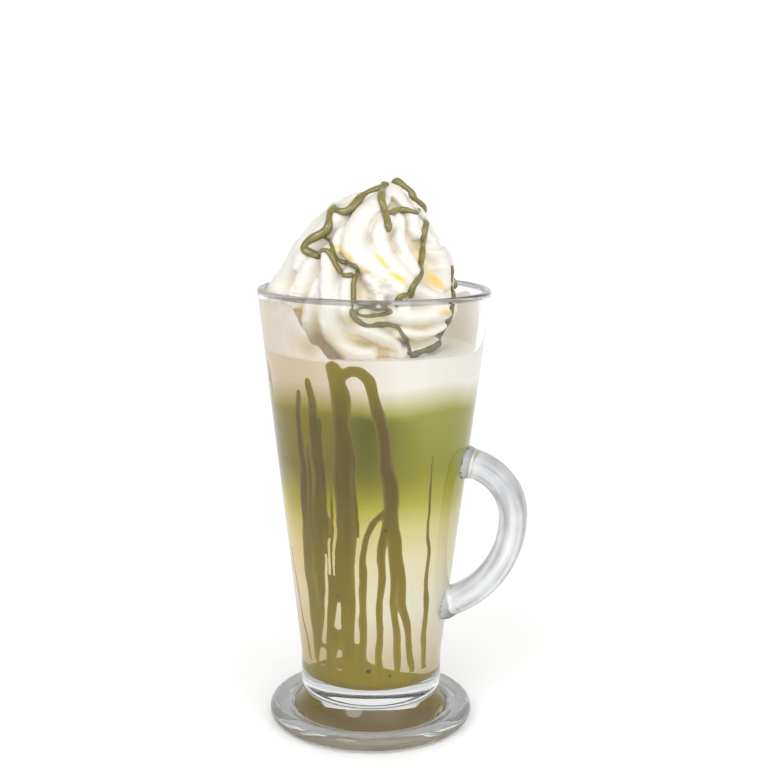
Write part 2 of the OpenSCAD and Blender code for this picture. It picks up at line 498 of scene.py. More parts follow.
def cream_paint():
    paint = Paint("whipped_cream", Roughness=0.5, Subsurface_Weight=0.0)
    # creases are painted a darker warm beige: painted shade
    crease = paint.remap(paint.attribute("crease"), 0.35, 1.0)
    crease = paint.math("MULTIPLY", crease, paint.remap(paint.noise(70, 3.0), 0.3, 0.65, 0.25, 1.0))
    # below the lip the cream is painted lighter than above it: painted light for the light that the
    # glass keeps from it
    above = paint.between(HEIGHT - 11, HEIGHT + 4)
    plain = paint.blend(above, srgb(249, 245, 232), srgb(207, 204, 198))
    shade = paint.blend(above, srgb(234, 214, 166), srgb(208, 192, 154))
    cloud = paint.remap(paint.noise(110, 4.0), 0.45, 0.75, 0.0, 0.3)
    plain = paint.blend(cloud, plain, paint.blend(above, srgb(232, 222, 196), srgb(196, 187, 164)))
    colour = paint.blend(crease, plain, shade)
    wet = paint.math("MULTIPLY", paint.attribute("wet"),
                     paint.remap(paint.sideways(), -0.024, 0.006, 1.0, 0.35))
    colour = paint.blend(wet, colour, behind_glass(222, 204, 179))
    yellow_patch = paint.math("MULTIPLY", paint.attribute("yellow_patch"),
                       paint.remap(paint.noise(160, 4.0), 0.35, 0.6, 0.2, 0.95))
    colour = paint.blend(yellow_patch, colour, srgb(222, 186, 70))
    greenish_patch = paint.attribute("greenish_patch")
    paint.to("Base Color", paint.blend(greenish_patch, colour, srgb(186, 165, 98)))
    paint.rough(400, 0.42, 0.62, 3.0)
    paint.bump(paint.noise(650, 4.0, 0.6), 0.00022, 0.6)
    return paint.mat


def drizzle_paint():
    paint = Paint("matcha_drizzle", Roughness=0.12, Coat_Roughness=0.04, Specular_IOR_Level=0.35)
    # within the glass the wall keeps most of the shine away
    paint.to("Coat Weight", paint.between(HEIGHT - 8, HEIGHT + 2, 0.1, 0.8))
    tone = paint.remap(paint.noise(260, 3.0), 0.3, 0.7)
    base = paint.blend(tone, srgb(84, 82, 24), srgb(114, 109, 44))
    thin = paint.between(FOAM_TOP - 0.4, CREAM_TOP - 4.8)
    paint.to("Base Color", paint.blend(thin, base, paint.blend(0.35, base, srgb(120, 104, 48))))
    paint.rough(700, 0.08, 0.2)
    paint.bump(paint.noise(500, 2.0), 0.00006, 0.4)
    return paint.mat


def bubble_paint():
    paint = Paint("bubble", Roughness=0.15)
    # the bubbles are painted dark brown: painted shade for pockets of air at the wall
    paint.to("Base Color", paint.blend(paint.noise(900, 2.0), srgb(58, 40, 22), srgb(96, 76, 40)))
    paint.bump(paint.noise(1200, 2.0), 0.00003, 0.3)
    return paint.mat


SAUCE = sauce_paint()


# ---------------------------------------------------------------- glass
def glass_profile():
    edge_r = WAIST_R - 1.3
    ring_r = RING_THICK / 2
    ring_c = FOOT_R - ring_r
    groove = (mix(edge_r, ring_c, 0.588), GROOVE_Z)
    dip = ring_c - groove[0]
    cove = BOWL_EDGE - GROOVE_Z
    hollow_r = FOOT_R - HOLLOW_INSET
    line = [(0.0, HOLLOW_DEPTH)]
    line += [(hollow_r * math.sin(math.radians(a)), HOLLOW_DEPTH * math.cos(math.radians(a)))
             for a in range(3, 91, 3)]
    line += arc(ring_c, ring_r, ring_r, -90, 85, 36)
    end = line[-1]
    line += bezier(end, (end[0] - 0.36 * dip, end[1] + 0.1),
                   (groove[0] + 0.31 * dip, groove[1] + 0.4), groove, 12)
    out = groove[0] - edge_r
    line += bezier(groove, (groove[0] - 0.33 * out, groove[1] + 0.2),
                   (edge_r + 0.2 * out, BOWL_EDGE - 0.36 * cove), (edge_r, BOWL_EDGE), 16)
    line += bezier((edge_r, BOWL_EDGE), (edge_r + 0.8, BOWL_EDGE + 0.3),
                   (WAIST_R, BOWL_EDGE + 1.5), (WAIST_R, BOWL_EDGE + 3.3), 12)
    line += [(WAIST_R, z) for z in np.linspace(BOWL_EDGE + 4.3, TAPER_START, 8)]
    up = list(np.linspace(TAPER_START + 1.4, FLARE_START, 76)) \
        + list(np.linspace(FLARE_START + 1, HEIGHT - LIP_R - 0.6, 8))
    line += [(float(bowl_r(z)), z) for z in up]
    line += arc(LIP_C, HEIGHT - LIP_R, LIP_R, 8, 172, 18)
    line += [(float(inner_r(z)), z) for z in reversed(up)]
    line += list(reversed(floor_curve(0.0, 22)))
    return line


def handle_mesh():
    """Swept grip whose two ends stop within the wall, slightly flared where they meet it."""
    around = 64
    grip_x = float(bowl_r(HANDLE_MID)) + HANDLE_REACH
    rows = []
    angles = list(np.linspace(90, 0, 44)) + list(np.linspace(0, -73, 58))[1:]
    for angle in angles:
        bend = HANDLE_UPPER if angle >= 0 else HANDLE_LOWER
        cx = grip_x - bend
        a = math.radians(angle)
        centre = Vector((cx + bend * math.cos(a), 0, HANDLE_MID + bend * math.sin(a)))
        out = Vector((math.cos(a), 0, math.sin(a)))
        gap = centre.x - float(bowl_r(centre.z))
        flare = 1 + 0.16 * math.exp(-(max(gap, 0) / 1.7) ** 2)
        row = []
        for i in range(around):
            b = (i + 0.5) * 2 * math.pi / around
            c, s = math.cos(b), math.sin(b)
            p = centre + out * (GRIP_THICK / 2 * flare * math.copysign(abs(c) ** 0.75, c))
            p.y = GRIP_WIDTH / 2 * flare * math.copysign(abs(s) ** 0.75, s)
            row.append(p)
        rows.append(row)
    for row in (rows[0], rows[-1]):
        for p in row:
            p.x = math.sqrt((float(inner_r(p.z)) + GRIP_INTO_WALL) ** 2 - p.y * p.y)
    verts = [tuple(p) for row in rows for p in row]
    faces = ring_faces(len(rows), around)
    for start in (0, (len(rows) - 1) * around):
        ring = verts[start:start + around]
        z = sum(p[2] for p in ring) / around
        verts.append((float(inner_r(z)) + GRIP_INTO_WALL, 0.0, z))
        for k in range(around):
            faces.append((start + k, start + (k + 1) % around, len(verts) - 1))
    return make_mesh("grip", verts, faces)


# Painted shade: grey lines along the grip where dark surroundings show through it, as (place across it
# in mm, half width, depth)
PAINTED_GRIP_LINES = ((-4.6, 1.1, 0.9), (4.6, 0.8, 0.8), (-1.9, 0.7, 0.6), (0.5, 0.4, -0.3), (2.4, 0.6, 0.5))
# the lip is painted grey to this depth: painted shade for the dark lines seen in the thick rim
LIP_BAND = 1.6          # depth of the grey lip


def make_glass():
    bowl = bpy.data.objects.new("bowl", lathe("bowl", glass_profile(), 288))
    grip = bpy.data.objects.new("grip", handle_mesh())
    bpy.context.scene.collection.objects.link(grip)
    mesh = evaluated("glass_body", bowl,
                     ("BOOLEAN", {"operation": "UNION", "solver": "EXACT", "object": grip}))
    bpy.data.objects.remove(grip)
    add_object("glass_body", mesh, glass_paint(), ["glass"])
    mesh.materials.append(thick_glass_paint())
    for face in mesh.polygons:
        p = face.center / MM
        r = math.hypot(p.x, p.y)
        grip = r > float(bowl_r(p.z)) + 0.15 and BOWL_EDGE + 4 < p.z < FLARE_START
        ring = r > WAIST_R and p.z < BOWL_EDGE
        face.material_index = int(grip or ring or p.z > HEIGHT - LIP_BAND)
    # how grey each vertex is painted: painted shade on the outer foot ring, along lines of the grip
    # and round the lip, less of it near the joints
    cloudy, grey = [], []
    grip_x = float(bowl_r(HANDLE_MID)) + HANDLE_REACH
    for vertex in mesh.vertices:
        p = vertex.co / MM
        r = math.hypot(p.x, p.y)
        if p.z < BOWL_EDGE:
            outer = float(step3((r - WAIST_R) / (FOOT_R - WAIST_R - 1)))
            cloudy.append(0.22 * outer)
            grey.append(0.5 * outer)
        elif p.z < FLARE_START:
            joint = math.exp(-(max(r - float(bowl_r(p.z)), 0) / 4.2) ** 2)
            bend = HANDLE_UPPER if p.z > HANDLE_MID else HANDLE_LOWER
            across = math.hypot(p.x - grip_x + bend, p.z - HANDLE_MID) - bend
            lines = sum(deep * math.exp(-((across - at) / wide) ** 2)
                        for at, wide, deep in PAINTED_GRIP_LINES)
            cloudy.append(0.8 * joint + 0.03)
            grey.append(mix(min(0.45 + lines, 1.0), 0.2, joint))
        else:
            cloudy.append(0.1)
            grey.append(0.9)
    add_fields(mesh, cloudy=cloudy, grey=grey)
    mesh.set_sharp_from_angle(angle=math.radians(50))


make_glass()


# ---------------------------------------------------------------- drink
def level_profile(z0, z1):
    n = max(2, int((z1 - z0) / 4))
    wall_line = [(float(inner_r(z)) + DRINK_REACH, z) for z in np.linspace(z0, z1, n)]
    return [(0.0, z0)] + wall_line + [(0.0, z1)]


milk_line = floor_curve(0.05, 22)
milk_line += [(float(inner_r(z)) + DRINK_REACH, z)
              for z in np.linspace(FLOOR_END + 0.6, MILK_TOP, 20)]
add_object("milk", lathe("milk", milk_line + [(0.0, MILK_TOP)]), drink_paint("milk"),
           ["milk_layer"])
add_object("matcha", lathe("matcha", level_profile(MILK_TOP, MATCHA_TOP)), drink_paint("matcha"),
           ["matcha_layer"])
foam_line = level_profile(MATCHA_TOP, FOAM_TOP)[:-1]
foam_edge = float(inner_r(FOAM_TOP))
foam_line += [(foam_edge - 0.3, FOAM_TOP - 0.35), (foam_edge - 1.0, FOAM_TOP - 0.75),
              (foam_edge - 2.5, FOAM_TOP - 1.0), (foam_edge * 0.5, FOAM_TOP - 1.0),
              (0.0, FOAM_TOP - 1.0)]
add_object("foam", lathe("foam", foam_line), foam_paint("milk_foam"), ["foam_layer"])

# Level of the sauce round the glass, as (angle, level)
POOL = ((-180, 25), (-150, 23), (-120, 26), (-90, 21), (-64, 22), (-42, 27), (-22, 30), (-5, 28.5),
        (12, 26), (30, 23.5), (53, 20.5), (80, 19), (110, 24), (145, 27), (180, 25))


def pool_top(angle):
    a, z = zip(*POOL)
    return np.interp((np.asarray(angle, float) + 180) % 360 - 180, a, z)


def to_azimuth(angle):
    """Azimuth in the frame of an angle on the glass."""
    return np.radians(np.asarray(angle, float) - 90 + VIEW_TURN)


def make_pool():
    n, steps = 240, 40
    line = np.array(floor_curve(SAUCE_REACH, 60))
    verts, faces = [], []
    for i in range(n):
        angle = i * 360 / n
        top = float(pool_top(angle)) - 0.2
        azimuth = float(to_azimuth(angle))
        for k in range(steps + 1):
            t = 1 - (1 - k / steps) ** 1.5
            z = mix(line[0][1], top, t)
            r = np.interp(z, line[:, 1], line[:, 0]) if z < FLOOR_END \
                else float(inner_r(z)) + SAUCE_REACH
            r = r if k else 12.0
            verts.append((r * math.cos(azimuth), r * math.sin(azimuth), z))
    centre_low, centre_top = len(verts), len(verts) + 1
    verts += [(0, 0, line[0][1]), (0, 0, FLOOR + 4)]
    row = steps + 1
    for i in range(n):
        j = (i + 1) % n
        for k in range(steps):
            faces.append((i * row + k, j * row + k, j * row + k + 1, i * row + k + 1))
        faces.append((centre_low, j * row, i * row))
        faces.append((centre_top, i * row + steps, j * row + steps))
    mesh = make_mesh("sauce_at_bottom", verts, faces)
    add_fields(mesh, thick=np.ones(len(mesh.vertices)))
    add_object("sauce_at_bottom", mesh, SAUCE, ["sauce_pool"])


make_pool()

# ---------------------------------------------------------------- sauce that runs down the wall
# Most points of RUNS, RIDGES, YELLOW_PATCHES and THREADS, and some of POOL, GAPS, BUBBLES and
# GREENISH_PATCHES, were picked on the photo by eye, turned into these measures by a scratch program
# and partly changed by hand. The other points, and all widths, heights and slopes, were set one by
# one.
# Each run: its points (angle, level) from the top down and its half width at each end
RUNS = (
    (((-77, 129), (-74, 123), (-73, 117), (-73, 108)), 1.0, 0.5),
    (((-74, 64), (-70, 45), (-61, 25)), 0.4, 0.7),
    (((-45, 122), (-46, 112), (-47, 95), (-48, 77), (-50, 55), (-46, 33), (-44, 26)), 1.1, 3.6),
    (((-37, 126), (-35, 117), (-35, 103), (-35, 86), (-37, 64), (-36, 42), (-36, 26)), 1.6, 3.6),
    (((-22, 133), (-20, 129), (-18, 121), (-17, 108), (-18, 87), (-19, 65), (-20, 43), (-21, 26)),
     2.8, 4.6),
    (((-16, 129), (-9, 131), (-3, 128), (1, 121), (6, 109), (9, 97), (12, 87), (12, 78)), 1.7, 2.9),
    (((10, 83), (2, 80), (-4, 72), (-6, 59), (-7, 44), (-8, 28)), 1.0, 1.5),
    (((10, 80), (7, 72), (7, 59), (7, 44), (7, 27)), 1.4, 1.3),
    (((12, 75), (14, 66), (17, 51), (20, 36), (23, 25)), 0.9, 1.3),
    (((13, 80), (17, 71), (21, 58), (27, 43), (33, 30), (37, 24)), 1.5, 1.5),
    (((38, 101), (38, 83), (42, 63), (44, 51), (49, 29), (52, 22)), 0.35, 1.6),
    (((-27, 68), (-28, 46), (-28, 26)), 4.6, 11.0),
    (((-31, 114), (-31, 92), (-30, 68)), 0.4, 0.7),
    (((-27, 108), (-26, 90), (-27, 66)), 0.4, 0.8),
    (((-41, 104), (-42, 86), (-43, 60)), 0.4, 0.8),
    (((-12, 112), (-11, 96), (-10, 74)), 0.3, 0.6),
)
# Bare slits and windows in the sauce, in the same form
GAPS = (
    (((-33, 66), (-36, 50), (-41, 34)), 0.35, 0.7),
    (((-29, 72), (-31, 60)), 0.4, 0.4),
    (((-25, 49), (-26, 41)), 0.5, 1.2),
    (((-10, 73), (-11, 50), (-12, 36)), 0.3, 0.7),
    (((-43, 30), (-45, 26)), 1.1, 1.2),
    (((-26, 31), (-27, 26)), 0.7, 1.3),
    (((-26, 112), (-25, 80), (-27, 60)), 0.5, 0.3),
)
# Runs on the far side follow the same pattern, turned, lower and in another order
FAR_TURN, FAR_DROP = 186, 5


def far_copy(runs):
    return tuple((tuple((FAR_TURN - 1.25 * a, max(z - FAR_DROP, 24)) for a, z in pts), w0, w1)
                 for pts, w0, w1 in runs)


def run_field(angle, z, runs):
    """Largest (1 - distance / half width) to any run, on the wall rolled out flat."""
    field = np.full(angle.shape, -9.0)
    for points, w0, w1 in runs:
        line = smooth_line(points, 10)
        for i, (a, h) in enumerate(line):
            width = mix(w0, w1, i / (len(line) - 1))
            near = np.abs(z - h) < width * 2 + 4
            across = ((angle[near] - a + 180) % 360 - 180) * math.pi / 180 * inner_r(h)
            # a run is long and upright, so the distance along it counts for less
            ahead = line[min(i + 1, len(line) - 1)] - line[max(i - 1, 0)]
            along = np.array([ahead[0] * math.pi / 180 * float(inner_r(h)), ahead[1]])
            size = np.linalg.norm(along)
            along /= size
            step = size / 2 / 1.6
            dx, dz = across, z[near] - h
            s = dx * along[0] + dz * along[1]
            t = dx * along[1] - dz * along[0]
            s = np.sign(s) * np.maximum(np.abs(s) - step, 0)
            value = 1 - np.sqrt(s * s + t * t) / width
            field[near] = np.maximum(field[near], value)
    return field


def wall_grid(z0, z1, n_a=500, dz=0.5):
    """Angles, heights and two slow noises over a grid on the wall."""
    n_z = int((z1 - z0) / dz)
    angle = np.repeat(np.arange(n_a) * 360 / n_a - 180, n_z)
    z = np.tile(z0 + np.arange(n_z) * dz, n_a)
    noises = [np.array([noise.noise(Vector((math.cos(a) * round_, math.sin(a) * round_, h * up_ + 9)))
                        for a, h in zip(np.radians(angle), z)])
              for round_, up_ in ((3.4, 0.09), (14, 0.22))]
    return (n_a, n_z), angle, z, noises


FILM_DIP, FILM_ROOT = 0.07, 0.7     # how far a film's edge dips behind the drink, and its inner side


def on_axis(r, azimuth, z):
    """Points at radius r round the axis of the glass."""
    return np.stack([r * np.cos(azimuth), r * np.sin(azimuth), z], -1)


def wall_film(name, shape, angle, z, field, reach, material):
    """Closed thin film on the wall where field is above 0; its edge dips under what lies behind."""
    n_a, n_z = shape
    out = -FILM_DIP + (reach + FILM_DIP) * step3((field + 0.15) / 0.55)
    azimuth = to_azimuth(angle)
    cell = (field > -0.3).reshape(n_a, n_z)
    used = cell & np.roll(cell, -1, 0)
    used = used[:, :-1] & used[:, 1:]
    total = n_a * n_z
    verts = np.concatenate([on_axis(inner_r(z) + DRINK_REACH + out, azimuth, z),
                            on_axis(inner_r(z) - FILM_ROOT, azimuth, z)])
    faces, edges = [], {}
    for i, k in zip(*np.nonzero(used)):
        j = (i + 1) % n_a
        quad = [int(v) for v in (i * n_z + k, j * n_z + k, j * n_z + k + 1, i * n_z + k + 1)]
        faces.append(quad)
        faces.append([v + total for v in reversed(quad)])
        for a, b in zip(quad, quad[1:] + quad[:1]):
            if (b, a) in edges:
                del edges[(b, a)]
            else:
                edges[(a, b)] = True
    faces += [[b, a, a + total, b + total] for a, b in edges]
    index = np.unique(np.array([v for f in faces for v in f]))
    place = np.full(2 * total, -1)
    place[index] = np.arange(len(index))
    mesh = make_mesh(name, verts[index], [[int(place[v]) for v in f] for f in faces], merge=False)
    add_fields(mesh, thick=np.tile(np.clip(field, 0, 1), 2)[index])
    mesh.set_sharp_from_angle(angle=math.radians(60))
    add_object(name, mesh, material)


def make_runs():
    shape, angle, z, (wave, fine) = wall_grid(FLOOR_END + 0.3, FOAM_TOP + 1.5)
    bend = angle + 2.2 * wave + 0.7 * fine
    field = run_field(bend, z, RUNS + far_copy(RUNS))
    field = np.maximum(field, (pool_top(angle) + 0.8 * wave - z) / 2.2)
    # neighbouring runs and the pool meet in soft corners
    grid = field.reshape(shape)
    soft = grid.copy()
    for _ in range(3):
        soft = (soft + np.roll(soft, 1, 0) + np.roll(soft, -1, 0)) / 3
        soft[:, 1:-1] = (soft[:, 1:-1] + soft[:, 2:] + soft[:, :-2]) / 3
    field = np.maximum(soft, grid - 0.12).reshape(-1)
    field -= np.maximum(0, z - FOAM_TOP + 2.0) * 0.35
    holes = run_field(bend, z, GAPS + far_copy(GAPS))
    field = np.minimum(field, -holes * 0.8)
    wall_film("sauce_runs", shape, angle, z, field, 0.10, SAUCE)


make_runs()

# Foam smeared up the wall where the cream was pressed in: (angle, level of its edge)
SMEARED_TO = ((-180, 150.6), (-62, 150.8), (-47, 150.2), (-42, 148.5), (-39, 145), (-36, 143.5),
              (-34, 139.5), (-30, 137.5), (-26, 135), (-20, 133), (66, 133), (80, 141), (92, 150),
              (180, 150.6))


def make_smeared_foam():
    n_a, rows = 480, 26
    low = FOAM_TOP - 1.0
    a, level = zip(*SMEARED_TO)
    verts, faces = [], []
    for i in range(n_a):
        angle = i * 360 / n_a - 180
        t = math.radians(angle)
        wave = noise.noise(Vector((math.cos(t) * 3.4, math.sin(t) * 3.4, 3)))
        fine = noise.noise(Vector((math.cos(t) * 12, math.sin(t) * 12, 7)))
        top = max(float(np.interp(angle, a, level)) + 2.0 * wave + 1.3 * fine, low + 0.2)
        azimuth = float(to_azimuth(angle))
        for side in (0, 1):
            for k in range(rows + 1):
                share = k / rows
                z = mix(low, min(top, HEIGHT - 2.5), share)
                depth = -0.12 if side == 0 else 0.5 * math.sqrt(1 - share * 0.98)
                r = float(inner_r(z)) - depth
                verts.append((r * math.cos(azimuth), r * math.sin(azimuth), z))
    row = 2 * (rows + 1)
    for i in range(n_a):
        j = (i + 1) % n_a
        for k in range(rows):
            for off, flip in ((0, 1), (rows + 1, -1)):
                quad = (i * row + off + k, j * row + off + k, j * row + off + k + 1,
                        i * row + off + k + 1)
                faces.append(quad[::flip])
        for k in (0, rows):
            quad = (i * row + k, i * row + rows + 1 + k, j * row + rows + 1 + k, j * row + k)
            faces.append(quad)
    mesh = make_mesh("smeared_foam", verts, faces)
    p = np.array([v.co for v in mesh.vertices]) / MM
    side = p @ np.array(SIDE)
    near = p @ np.array(AWAY) < 0
    thin = np.clip((side + 37) / 10 + (p[:, 2] - FOAM_TOP) * 0.02, 0, 1)
    smudge = 0.55 * near * np.exp(-((side + 20.5) / 3.2) ** 2 - ((p[:, 2] - 138) / 3.5) ** 2)
    add_fields(mesh, thin=thin, smudge=smudge)
    add_object("smeared_foam", mesh, foam_paint("smeared_foam", True))


make_smeared_foam()


# ---------------------------------------------------------------- small bubbles at the wall
# (angle, level, radius)
BUBBLES = ((-2, 25, 0.95), (16, 22.8, 0.5), (-25, 52, 0.45), (9, 76.5, 0.5), (8, 88, 0.4),
           (-36, 118, 0.35), (150, 46, 0.5), (190, 70, 0.6), (215, 30, 0.8))


def make_bubbles():
    verts, faces = [], []
    rings, around = 7, 18
    for angle, z, radius in BUBBLES:
        a = float(to_azimuth(angle))
        out = Vector((math.cos(a), math.sin(a), 0))
        across = Vector((-math.sin(a), math.cos(a), 0))
        up = Vector((0, 0, 1))
        centre = out * (float(inner_r(max(z, FLOOR_END))) + 0.05) + up * z
        start = len(verts)
        for i in range(rings):
            t = math.pi * i / (rings - 1)
            for k in range(around):
                b = 2 * math.pi * k / around
                swell = radius * (1 + 0.12 * math.cos(2 * b + angle))
                p = centre + (across * math.cos(b) + up * math.sin(b)) * (swell * math.sin(t)) \
                    + out * (0.32 * math.cos(t))
                verts.append(tuple(p))
        faces += ring_faces(rings, around, start)
    add_object("bubbles", make_mesh("bubbles", verts, faces), bubble_paint())


make_bubbles()

# ---------------------------------------------------------------- whipped cream
CREAM_H = CREAM_TOP - FOAM_TOP
CREAM_R, CREAM_SHIFT, CREAM_LEAN = 33.0, 4.6, 10.5
# Piped ridges on the side to the camera: points (sideways, height), half width, height
RIDGES = (
    (((1, 184), (-4, 180), (-7, 175), (-8, 170), (-4, 166), (2, 162), (8, 157)), 5.6, 4.6),
    (((4, 178), (1.5, 173), (4, 167), (9, 162), (14, 156.5)), 4.2, 4.0),
    (((9, 178), (9, 172), (12, 166), (15.5, 160)), 3.4, 3.4),
    (((5, 188), (10, 184), (14, 179), (15, 174)), 4.2, 3.4),
    (((3, 188), (-4, 186), (-9, 182)), 4.6, 3.6),
    (((17, 175), (21, 169), (24, 163), (25, 157)), 5.2, 4.2),
    (((15, 156), (19, 153.5), (26, 150)), 3.6, 3.6),
    (((-13, 180), (-18, 175), (-23, 169), (-26, 163)), 5.0, 4.4),
    (((-12, 174), (-14, 170), (-16, 165)), 3.6, 3.4),
    (((-16, 168), (-16, 159), (-16, 149), (-14, 141), (-9, 136.5), (-1, 135)), 3.8, 4.4),
    (((-9, 161), (-10, 156), (-9.5, 149), (-7, 144)), 3.2, 3.8),
    (((-23, 163), (-27, 155), (-31, 147), (-34, 138)), 4.6, 3.8),
    (((-20, 158), (-23, 148), (-24, 138)), 3.0, 3.0),
    (((-2, 160), (1, 155.5), (2, 151)), 3.0, 3.6),
    (((6, 158), (8, 154), (11, 150)), 3.2, 3.6),
    (((-8, 146), (-1, 142.5), (6, 139), (9, 135)), 3.2, 4.2),
    (((8, 148), (15, 147), (25, 147)), 3.4, 4.2),
    (((10, 142), (17, 140.5), (24, 142)), 2.8, 4.0),
    (((11, 135.5), (17, 135), (22, 137)), 2.6, 3.6),
)
RIDGE_WIDTH, RIDGE_HEIGHT, RIDGE_ROOT = 0.88, 1.35, 4.9
CREAM_FOOT = FOAM_TOP - 1.4     # the cream stands a little way into the foam
# Tiers of slanting ridges on the far side: (top, foot, first angle, count, half width, height)
FAR_RIDGES = ((152, 133, 84, 9, 5.0, 4.4), (170, 151, 76, 9, 5.0, 4.2), (186, 168, 80, 6, 4.6, 3.8))
FAR_SPAN, FAR_SLANT = 214.0, 26     # degrees that a tier takes up, and that one ridge leans over
# Yellow patches in the creases: (sideways, height, half length, half width, slope in degrees)
YELLOW_PATCHES = (
    (-10, 167.5, 4.2, 1.1, -35), (-3.3, 162, 2.4, 0.7, -10), (2.5, 165, 3.8, 0.7, -48),
    (8.5, 159.5, 5.0, 1.1, -30), (3.4, 159.4, 0.9, 0.5, -30), (21, 157, 5.4, 1.4, -40),
    (-24, 148.5, 2.2, 1.0, 0), (24, 147.5, 3.5, 0.9, -10), (10.5, 139.5, 3.2, 1.0, -20),
    (5.0, 136.5, 3.0, 0.8, -10), (-6, 146.5, 2.2, 1.6, 0),
)
# Broken cream between the ridges, in the same form
ROUGH = ((1, 154, 5.5, 4.0, -35), (5, 150, 4.0, 2.2, -10), (-29, 152, 6.0, 4.0, 60))
# Greenish beige patches low on the cream's front, in the same form
GREENISH_PATCHES = ((-15, 139, 7.0, 3.4, -60), (-8, 147, 3.5, 2.6, -20), (-3, 138.5, 3.5, 1.2, -10))


def cream_centre(u):
    return -CREAM_SHIFT + CREAM_LEAN * np.clip(u, 0, 1) ** 1.5


def cream_outline(a, u):
    """Radius of the plain body at azimuth a (radians) and share u of the height."""
    u = np.clip(u, 0, 1)
    r = CREAM_R * (0.87 + 0.13 * step3(u / 0.22)) * np.maximum(0, 1 - u * u) ** 0.62
    swing = np.interp(u, (0, 0.2, 0.4, 0.5, 0.6, 0.75, 0.9, 1.0),
                      (2.5, 2.5, 2.6, 1.4, 2.6, 3.6, 2.6, 0.0))
    left = -(np.cos(a) * math.cos(TURN) + np.sin(a) * math.sin(TURN))
    return r + swing * np.where(left > 0, left, left * np.where(u > 0.6, 1.0, 0.4))


def on_outline(sideways, height):
    """Point of the plain body that the camera sees at a place on the cream."""
    u = (height - FOAM_TOP) / CREAM_H
    a = np.radians(np.arange(0, 360, 0.5)) + math.radians(VIEW_TURN) - math.pi
    a = a[(np.sin(a - TURN) <= 0.02)]
    r = cream_outline(a, np.full(a.shape, u))
    x = cream_centre(u) + r * np.cos(a)
    y = r * np.sin(a)
    side = x * math.cos(TURN) + y * math.sin(TURN)
    best = int(np.argmin(np.abs(side - sideways)))
    return np.array([x[best], y[best], height])


def at_azimuth(angle, height):
    """Point of the plain body at an angle and height."""
    u = (height - FOAM_TOP) / CREAM_H
    a = float(to_azimuth(angle))
    r = float(cream_outline(np.array(a), np.array(u)))
    return np.array([float(cream_centre(u)) + r * math.cos(a), r * math.sin(a), height])


def ridge_lines():
    lines = []
    for points, width, height in RIDGES:
        line = smooth_line(points, 6)
        lines.append((np.array([on_outline(s, h) for s, h in line]), width, height))
    for top, low, first, count, width, height in FAR_RIDGES:
        for i in range(count):
            start = first + i * (FAR_SPAN / count)
            points = [(start + FAR_SLANT * t, mix(top, low, t) + 1.5 * math.sin(i * 2.1))
                      for t in (0, 0.25, 0.5, 0.75, 1)]
            lines.append((np.array([at_azimuth(a, min(h, CREAM_TOP - 1))
                                    for a, h in smooth_line(points, 5)]), width, height))
    return lines


def patch(side, height, patches):
    """How much of a patch covers each point, 0 to 1."""
    value = np.zeros(side.shape)
    for x, z, long, wide, slope in patches:
        c, s = math.cos(math.radians(slope)), math.sin(math.radians(slope))
        dx, dz = side - x, height - z
        far = ((dx * c + dz * s) / long) ** 2 + ((dz * c - dx * s) / wide) ** 2
        value = np.maximum(value, np.exp(-1.1 * far ** 1.5))
    return value


